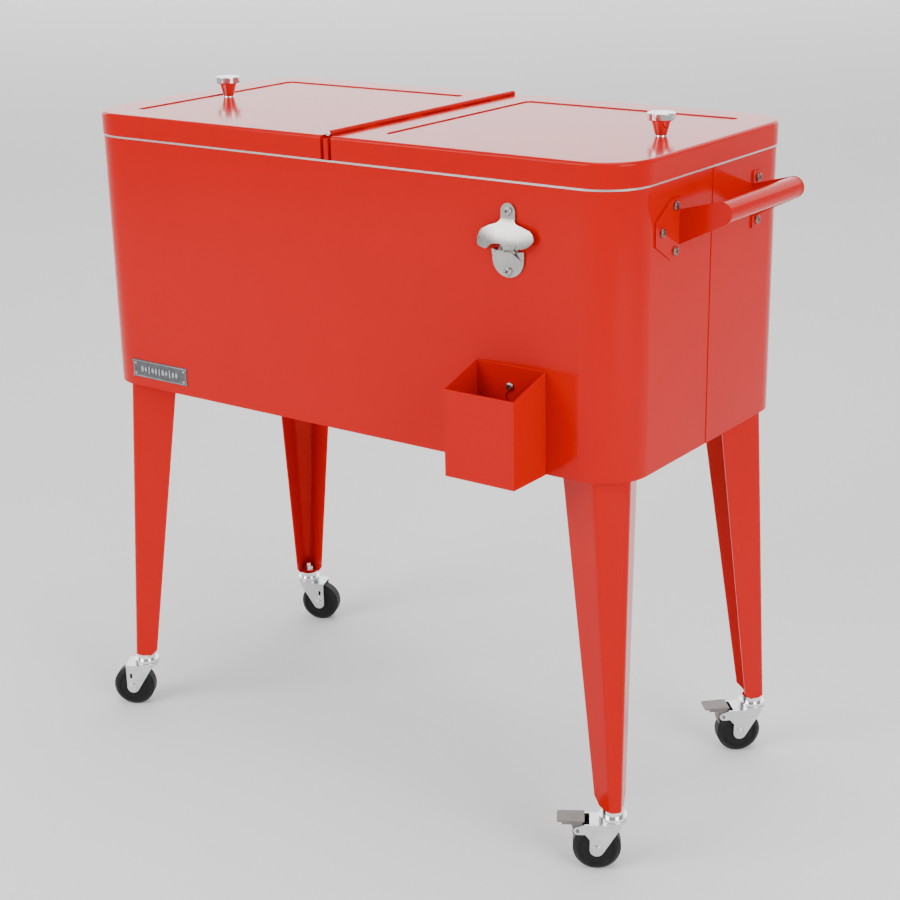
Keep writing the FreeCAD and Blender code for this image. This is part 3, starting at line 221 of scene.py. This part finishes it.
for name, piece in nodes.items():
    paint(piece, slot_of[name])
for name, width in BEVELS.items():
    rounded_edges(nodes[name], width)

# ---------------------------------------------------------------- small builders

def made_piece(name, mesh_data, body, slot, smooth=35.0):
    """A visible piece in the row frame that moves with a CAD body."""
    vertices, faces = mesh_data
    mesh = bpy.data.meshes.new(name)
    mesh.from_pydata([tuple(v) for v in vertices], [], faces)
    work = bmesh.new()
    work.from_mesh(mesh)
    bmesh.ops.remove_doubles(work, verts=work.verts, dist=1e-7)
    bmesh.ops.recalc_face_normals(work, faces=work.faces)
    work.to_mesh(mesh)
    work.free()
    piece = bpy.data.objects.new(name, mesh)
    bpy.context.scene.collection.objects.link(piece)
    mesh.shade_smooth()
    mesh.set_sharp_from_angle(angle=math.radians(smooth))
    paint(piece, slot)
    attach(piece, body)
    return piece


def joined(parts):
    """Several (vertices, faces) lists as one."""
    vertices, faces = [], []
    for more_vertices, more_faces in parts:
        start = len(vertices)
        vertices.extend(more_vertices)
        faces.extend([tuple(start + i for i in face) for face in more_faces])
    return vertices, faces


def moved(mesh_data, matrix):
    """The same mesh data with its vertices moved by matrix."""
    return [matrix @ Vector(v) for v in mesh_data[0]], mesh_data[1]


def sheet(rows, thickness):
    """Closed thin plate from a grid of (front point, unit normal) rows."""
    front, back = [], []
    for row in rows:
        for point, normal in row:
            front.append(Vector(point))
            back.append(Vector(point) - Vector(normal) * thickness)
    count = len(rows[0])
    total = len(front)
    faces = []
    for i in range(len(rows) - 1):
        for j in range(count - 1):
            a, b, c, d = i * count + j, i * count + j + 1, (i + 1) * count + j + 1, (i + 1) * count + j
            faces.append((a, b, c, d))
            faces.append((total + d, total + c, total + b, total + a))
    border = [j for j in range(count)] + [i * count + count - 1 for i in range(1, len(rows))]
    border += [(len(rows) - 1) * count + j for j in range(count - 2, -1, -1)]
    border += [i * count for i in range(len(rows) - 2, 0, -1)]
    for a, b in zip(border, border[1:] + border[:1]):
        faces.append((b, a, total + a, total + b))
    return front + back, faces


def prism(outline, low, high):
    """Outline in (x, z), drawn from y = low to y = high."""
    count = len(outline)
    vertices = [(x, low, z) for x, z in outline] + [(x, high, z) for x, z in outline]
    faces = [tuple(range(count)), tuple(range(2 * count - 1, count - 1, -1))]
    faces += [(i, i + count, (i + 1) % count + count, (i + 1) % count) for i in range(count)]
    return vertices, faces


def arc(x, z, radius, start, end, steps):
    """Points around (x, z) from angle start to angle end, in degrees."""
    angles = [math.radians(start + (end - start) * i / steps) for i in range(steps + 1)]
    return [(x + radius * math.cos(angle), z + radius * math.sin(angle)) for angle in angles]


def facing(point, direction):
    """Puts +Z of a part along direction with its foot at point."""
    turn = Vector((0, 0, 1)).rotation_difference(Vector(direction)).to_matrix().to_4x4()
    return Matrix.Translation(Vector(point)) @ turn


# ---------------------------------------------------------------- bottle opener

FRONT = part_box("outer_shell")[0].y
OPENER_X = (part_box("bottle_opener")[0].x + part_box("bottle_opener")[1].x) / 2
OPENER_Z = (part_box("opener_screws")[0].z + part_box("opener_screws")[1].z) / 2 + 0.65 * MM
HOOD_SHEET = 2.2 * MM
HOOD_HALF = 37      # half the hood's width, in millimetres
TAB_TOP = 25        # where the hood leaves the tab
TAB_RADIUS, TAB_HEIGHT = 9.5, 32.5
FOOT_RADIUS, FOOT_HEIGHT = 21, -20.5
WALL_GAP = 0.05 * MM

# Upper and lower edges of the hood in (x, z) millimetres from the opener's middle.
HOOD_TOP = [(-37, -4), (-36.8, 2), (-34.5, 8), (-31, 12), (-22, 16.4), (-13, 19.4), (-10, 22), (-8.8, 25),
            (8.8, 25), (10, 22), (13, 19.8), (20, 18), (31, 14.6), (35, 11.5), (37, 7.5), (37.4, 4)]
HOOD_LOW = [(-37, -4), (-36.4, -6.8), (-31, -8.6), (-25, -9.6), (-22.5, -8.6), (-19.5, -5.2), (-14, -2.6),
            (-7, -2.0), (0, -2.6), (6.5, -3.8), (12.3, -5.4), (19, -6.2), (25, -5.4), (31, -2.6), (35.2, 1),
            (37.4, 4)]


def between(points, t):
    """Point at share t of the way along a polyline, by its index."""
    place = t * (len(points) - 1)
    i = min(int(place), len(points) - 2)
    f = place - i
    return [a + (b - a) * f for a, b in zip(points[i], points[i + 1])]


def hood_depth(x, z):
    """How far the hood stands off the wall: it leaves the wall below the tab and curls back at the ends."""
    drop = max(TAB_TOP - z, 0) / 30
    bulge = math.sin(min(drop, 1.2) * math.pi / 2.4) ** 0.85
    return 2.6 + 10.2 * bulge * (1 - 0.34 * (x / HOOD_HALF) ** 2)


def opener_hood():
    """The pressed hood, swept between its upper and lower edges."""
    rows = []
    for k in range(15):
        f = k / 14
        row = []
        for i in range(61):
            t = i / 60
            top, low = between(HOOD_TOP, t), between(HOOD_LOW, t)
            x = top[0] + (low[0] - top[0]) * f
            z = top[1] + (low[1] - top[1]) * f
            depth = hood_depth(x, z)
            slope_x = (hood_depth(x + 0.5, z) - hood_depth(x - 0.5, z))
            slope_z = (hood_depth(x, z + 0.5) - hood_depth(x, z - 0.5))
            normal = Vector((slope_x, -1, slope_z)).normalized()
            point = (OPENER_X + x * MM, FRONT - depth * MM, OPENER_Z + z * MM)
            row.append((point, (-normal.x, normal.y, -normal.z)))
        rows.append(row)
    return sheet(rows, HOOD_SHEET)


def opener_plates():
    """Tab, neck and round foot that lie on the wall, and the bent prying lip above the foot."""
    neck = [(9.5, 22), (9, 12), (8.6, 2), (10, -6), (15, -12), (20.4, -16)]
    outline = arc(0, TAB_HEIGHT, TAB_RADIUS, 0, 180, 20) + [(-x, z) for x, z in neck]
    outline += arc(0, FOOT_HEIGHT, FOOT_RADIUS, 180, 360, 40) + neck[::-1]
    wall = prism([(OPENER_X + x * MM, OPENER_Z + z * MM) for x, z in outline],
                 FRONT - 2.5 * MM, FRONT - WALL_GAP)
    lip = []
    for f in (0, 0.12, 0.3, 0.5, 0.7, 0.85, 1):
        z = -23.5 + 11.8 * f
        half = 20.4 - 13.4 * f
        depth = 2.6 + 4.6 * f ** 1.4
        lip.append([((OPENER_X + half * (i / 12 - 0.5) * 2 * MM, FRONT - depth * MM, OPENER_Z + z * MM),
                     (0, -0.93, 0.36)) for i in range(13)])
    shoulders = []
    for side in (-1, 1):
        rows = []
        for f in (0, 0.25, 0.5, 0.75, 1):
            row = []
            for g in (0, 0.2, 0.4, 0.6, 0.8, 1):
                x = side * (9 + 12.5 * f)
                z = -6 - 12 * f * (1 - g) - (6 - 1.5 * f) * g
                depth = 2.4 + 3.6 * math.sin(math.pi * g / 2) * (1 - 0.8 * f)
                point = (OPENER_X + x * MM, FRONT - depth * MM, OPENER_Z + z * MM)
                row.append((point, (side * 0.3, -0.9, 0.3)))
            rows.append(row)
        shoulders.append(sheet(rows, 1.6 * MM))
    return joined([wall, sheet(lip, 2 * MM)] + shoulders)


def cross_bars(point, direction, radius, height, turn):
    """Painted shade of the cross recess in a screw head, as two thin dark crossed bars."""
    bars = []
    long, thin = radius * 0.52, radius * 0.13
    for x, y in ((long, thin), (thin, long)):
        low, high = height * 0.86, height * 1.03
        corners = [(-x, -y, low), (x, -y, low), (x, y, low), (-x, y, low),
                   (-x, -y, high), (x, -y, high), (x, y, high), (-x, y, high)]
        faces = [(0, 3, 2, 1), (4, 5, 6, 7), (0, 1, 5, 4), (1, 2, 6, 5), (2, 3, 7, 6), (3, 0, 4, 7)]
        bars.append((corners, faces))
    return moved(joined(bars), facing(point, direction) @ Matrix.Rotation(turn, 4, "Z"))


hood = made_piece("opener_hood", opener_hood(), "chest", "stainless", 60)
bevelled(hood, 0.4 * MM)
plates = made_piece("opener_plates", opener_plates(), "chest", "stainless", 30)
bevelled(plates, 0.3 * MM)
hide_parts("bottle_opener")
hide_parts("bottle_opener")

# ---------------------------------------------------------------- name plate, with a plain raised ornament

PLATE_BITE = 1.8 * MM       # how far the hollow ends of the plate curve in
RIM_OUTSIDE, RIM_INSIDE, RIM_RISE = 1.3 * MM, 2.0 * MM, 0.5 * MM
MARKS, MARK_PITCH, MARK_RISE, MARK_SUNK = 11, 6.2 * MM, 0.9 * MM, 0.2 * MM
TALL_MARK, LOW_MARK = 5.0 * MM, 4.2 * MM
OVAL_HALF, DIAMOND_HALF, BAR_HALF = 2.2 * MM, 2.4 * MM, 1.1 * MM


def ornament(number, x, z):
    """Outline of one mark about (x, z): an oval, a diamond or a bar in turn."""
    tall = LOW_MARK if number % 2 else TALL_MARK
    if number % 3 == 0:
        angles = [2 * math.pi * i / 16 for i in range(16)]
        return [(x + OVAL_HALF * math.cos(a), z + tall * 0.86 * math.sin(a)) for a in angles]
    if number % 3 == 1:
        return [(x, z - tall), (x + DIAMOND_HALF, z), (x, z + tall), (x - DIAMOND_HALF, z)]
    return [(x - BAR_HALF, z - tall), (x + BAR_HALF, z - tall),
            (x + BAR_HALF, z + tall), (x - BAR_HALF, z + tall)]


def name_plate():
    """The plate's field, and the rim and marks that stand on it."""
    low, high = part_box("name_plate")
    middle_x, middle_z = (low.x + high.x) / 2, (low.z + high.z) / 2
    half_x, half_z = (high.x - low.x) / 2, (high.z - low.z) / 2
    front = low.y

    def outline(shrink):
        x, z = half_x - shrink, half_z - shrink
        steps = 12
        right = []
        for i in range(steps + 1):
            along = i / steps
            right.append((x - PLATE_BITE * (1 - ((along - 0.5) * 2) ** 2), -z + 2 * z * i / steps))
        left = [(-a, -b) for a, b in right]
        return [(middle_x + a, middle_z + b) for a, b in right + left]

    field = prism(outline(0), front, high.y - WALL_GAP)
    rim_out, rim_in = outline(RIM_OUTSIDE), outline(RIM_INSIDE)
    raised = front - RIM_RISE
    count = len(rim_out)
    vertices, faces = [], []
    for ring, y in ((rim_out, front), (rim_out, raised), (rim_in, raised), (rim_in, front)):
        vertices += [(x, y, z) for x, z in ring]
    for start in (0, count, 2 * count):
        for i in range(count):
            j = (i + 1) % count
            faces.append((start + i, start + j, start + count + j, start + count + i))
    relief = [(vertices, faces)]
    for number in range(MARKS):
        x = middle_x + (number - (MARKS - 1) / 2) * MARK_PITCH
        relief.append(prism(ornament(number, x, middle_z), front - MARK_RISE, front + MARK_SUNK))
    return field, joined(relief)


plate_field_shade, plate_relief = name_plate()
# the field takes the dark painted-shade colour, the rim and marks the silver one
for name, shape, slot in (("name_plate_field", plate_field_shade, "plate_field_shade"),
                          ("name_plate_relief", plate_relief, "silver_plate")):
    plate = made_piece(name, shape, "chest", slot, 30)
    bevelled(plate, 0.18 * MM, 2)
    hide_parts("name_plate")

# ---------------------------------------------------------------- screw heads with the painted shade of their cross recesses

SCREW_REACH = 16 * MM       # points nearer than this belong to one screw
RECESS_DEPTH = 1.6 * MM


def screws_of(node):
    """The points of each screw in a group node."""
    mesh = nodes[node].data
    points = [vertex.co.copy() for vertex in mesh.vertices]
    groups = []
    for point in sorted(points, key=lambda p: (p.x, p.y, p.z)):
        for group in groups:
            if (group[0] - point).length < SCREW_REACH:
                group.append(point)
                break
        else:
            groups.append([point])
    return groups


def crosses(name, node, axis, sign, radius, body):
    """Crossed marks of painted recess shade on the outer face of every head of a node."""
    bars = []
    for number, group in enumerate(screws_of(node)):
        face = max(p[axis] * sign for p in group) * sign
        middle = [(min(p[k] for p in group) + max(p[k] for p in group)) / 2 for k in range(3)]
        direction = [0, 0, 0]
        direction[axis] = sign
        middle[axis] = face - sign * RECESS_DEPTH
        bars.append(cross_bars(middle, direction, radius, RECESS_DEPTH, 0.5 + 0.9 * number))
    # the bars take the dark painted-shade colour
    return made_piece(name, joined(bars), body, "screw_recess_shade", 30)


crosses("opener_screw_crosses", "opener_screws", 1, -1, 4.6 * MM, "chest")
crosses("handle_screw_crosses", "handle_screws", 0, 1, 4.6 * MM, "chest")
crosses("catcher_screw_cross", "catcher_screw", 1, -1, 4.2 * MM, "chest")

# ---------------------------------------------------------------- stage, lights and camera

CAMERA_PLACE = (1.3593, -1.8184, 1.1852)
CAMERA_YAW, CAMERA_PITCH, CAMERA_ROLL = 36.26, 18.99, -1.11
FOCAL_PIXELS, IMAGE_PIXELS, SENSOR = 1804.9, 900, 36.0

FLOOR_FRONT, FLOOR_BACK, FLOOR_SIDE = -9.0, 3.2, 10
SWEEP_RADIUS, WALL_TOP = 2.2, 5.5
GLOW_HEIGHT, GLOW_STRENGTH = 1.6, 1.9


def floor():
    """Pale sweep: a flat floor that curves up behind the object into a softly glowing wall."""
    heading = math.radians(CAMERA_YAW)
    along = Vector((-math.sin(heading), math.cos(heading), 0))
    across = Vector((math.cos(heading), math.sin(heading), 0))
    profile = [(FLOOR_FRONT, 0.0)] + arc(FLOOR_BACK, SWEEP_RADIUS, SWEEP_RADIUS, -90, 0, 18)
    profile.append((FLOOR_BACK + SWEEP_RADIUS, WALL_TOP))
    vertices, faces = [], []
    for reach, height in profile:
        for side in (-FLOOR_SIDE, FLOOR_SIDE):
            vertices.append(along * reach + across * side + Vector((0, 0, height)))
    for k in range(len(profile) - 1):
        faces.append((2 * k, 2 * k + 1, 2 * k + 3, 2 * k + 2))
    mesh = bpy.data.meshes.new("floor")
    mesh.from_pydata([tuple(v) for v in vertices], [], faces)
    mesh.shade_smooth()
    piece = bpy.data.objects.new("floor", mesh)
    bpy.context.scene.collection.objects.link(piece)
    made = bpy.data.materials.new("floor")
    made.use_nodes = True
    tree = made.node_tree
    surface = tree.nodes["Principled BSDF"]
    surface.inputs["Base Color"].default_value = (0.92, 0.92, 0.92, 1)
    surface.inputs["Roughness"].default_value = 0.8
    surface.inputs["Specular IOR Level"].default_value = 0.0
    surface.inputs["Emission Color"].default_value = (1, 1, 1, 1)
    split = tree.nodes.new("ShaderNodeSeparateXYZ")
    place = tree.nodes.new("ShaderNodeTexCoord")
    tree.links.new(place.outputs["Object"], split.inputs["Vector"])
    glow = tree.nodes.new("ShaderNodeMapRange")
    glow.interpolation_type = "SMOOTHSTEP"
    glow.inputs["From Min"].default_value = 0.0
    glow.inputs["From Max"].default_value = GLOW_HEIGHT
    glow.inputs["To Min"].default_value = 0.0
    glow.inputs["To Max"].default_value = GLOW_STRENGTH
    tree.links.new(split.outputs["Z"], glow.inputs["Value"])
    tree.links.new(glow.outputs["Result"], surface.inputs["Emission Strength"])
    mesh.materials.append(made)


def light(name, position, target, size, power):
    """Soft rectangular lamp of the given size and power, turned towards target."""
    lamp = bpy.data.lights.new(name, "AREA")
    lamp.shape = "RECTANGLE"
    lamp.size, lamp.size_y = size
    lamp.energy = power
    holder = bpy.data.objects.new(name, lamp)
    holder.location = position
    holder.rotation_euler = (Vector(target) - Vector(position)).to_track_quat("-Z", "Y").to_euler()
    bpy.context.scene.collection.objects.link(holder)


def world():
    """Even white surroundings."""
    made = bpy.data.worlds.new("studio")
    made.use_nodes = True
    background = made.node_tree.nodes["Background"]
    background.inputs["Color"].default_value = (1.0, 1.0, 1.0, 1)
    background.inputs["Strength"].default_value = 0.45
    bpy.context.scene.world = made


def camera():
    """Camera at the photographed viewing angle."""
    yaw, pitch, roll = (math.radians(angle) for angle in (CAMERA_YAW, CAMERA_PITCH, CAMERA_ROLL))
    forward = Vector((-math.cos(pitch) * math.sin(yaw), math.cos(pitch) * math.cos(yaw), -math.sin(pitch)))
    right = Vector((math.cos(yaw), math.sin(yaw), 0))
    up = right.cross(forward)
    right_rolled = right * math.cos(roll) + up * math.sin(roll)
    up_rolled = up * math.cos(roll) - right * math.sin(roll)
    view = bpy.data.cameras.new("camera")
    view.sensor_width = SENSOR
    view.lens = FOCAL_PIXELS / IMAGE_PIXELS * SENSOR
    view.clip_start = 0.05
    view.clip_end = 60.0
    holder = bpy.data.objects.new("camera", view)
    turn = Matrix((right_rolled, up_rolled, -forward)).transposed().to_4x4()
    holder.matrix_world = Matrix.Translation(CAMERA_PLACE) @ turn
    bpy.context.scene.collection.objects.link(holder)
    bpy.context.scene.camera = holder


floor()
light("softbox_left", (-1.6, -3.4, 2.4), (0, 0, 0.5), (2.6, 2.2), 115)
light("softbox_right", (3.2, -0.9, 1.7), (0.3, 0, 0.5), (1.8, 2.4), 72)
light("softbox_top", (0.3, 0.2, 3.6), (0, 0, 0.8), (2.4, 2.0), 60)
world()
camera()
